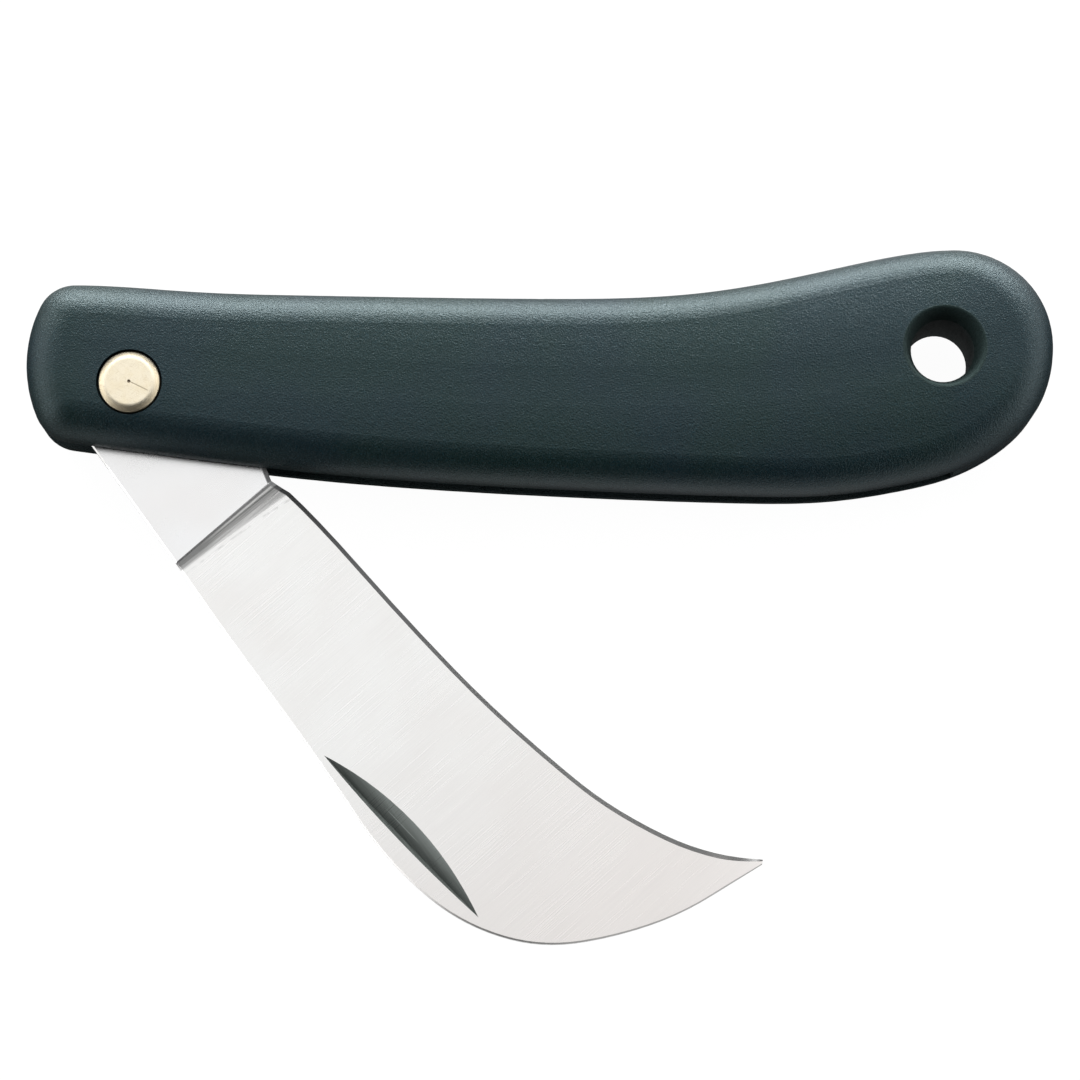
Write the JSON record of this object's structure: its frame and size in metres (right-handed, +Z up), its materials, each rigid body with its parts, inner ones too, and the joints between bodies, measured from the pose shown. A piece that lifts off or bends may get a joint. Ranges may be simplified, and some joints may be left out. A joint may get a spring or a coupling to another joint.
{
  "type": "folding grafting knife",
  "caption": "Folding pocket knife for grafting and pruning: hooked steel blade on a riveted pivot in a slotted, moulded handle with a lanyard hole.",
  "frame": {"origin": "on the handle's flat resting side, halfway along the handle and level with the pivot", "axes": "+X along the handle from the pivot towards the lanyard end, +Y towards the back of the handle, +Z up from the resting side along the pivot axis"},
  "size_m": [0.102, 0.0689, 0.0134],
  "materials": {
    "handle_polymer": "dark blue-green moulded polymer with a fine spark-eroded grain",
    "blade_steel": "fine ground stainless steel",
    "spring_steel": "tempered spring steel",
    "washer_bronze": "plain bronze sheet",
    "rivet_brass": "pale polished brass"
  },
  "bodies": {
    "handle_body": {"handle": "handle_polymer", "back_spring": "spring_steel", "upper_washer": "washer_bronze", "lower_washer": "washer_bronze", "rivet_upper_half": "rivet_brass", "rivet_lower_half": "rivet_brass"},
    "blade_body": {"blade": "blade_steel"}
  },
  "joints": [
    {"name": "blade_pivot", "type": "hinge", "parent": "handle_body", "child": "blade_body", "pos_m": [-0.04044, 0, 0.0065], "axis": [0, 0, 1], "range_deg": [-126, 35]}
  ]
}
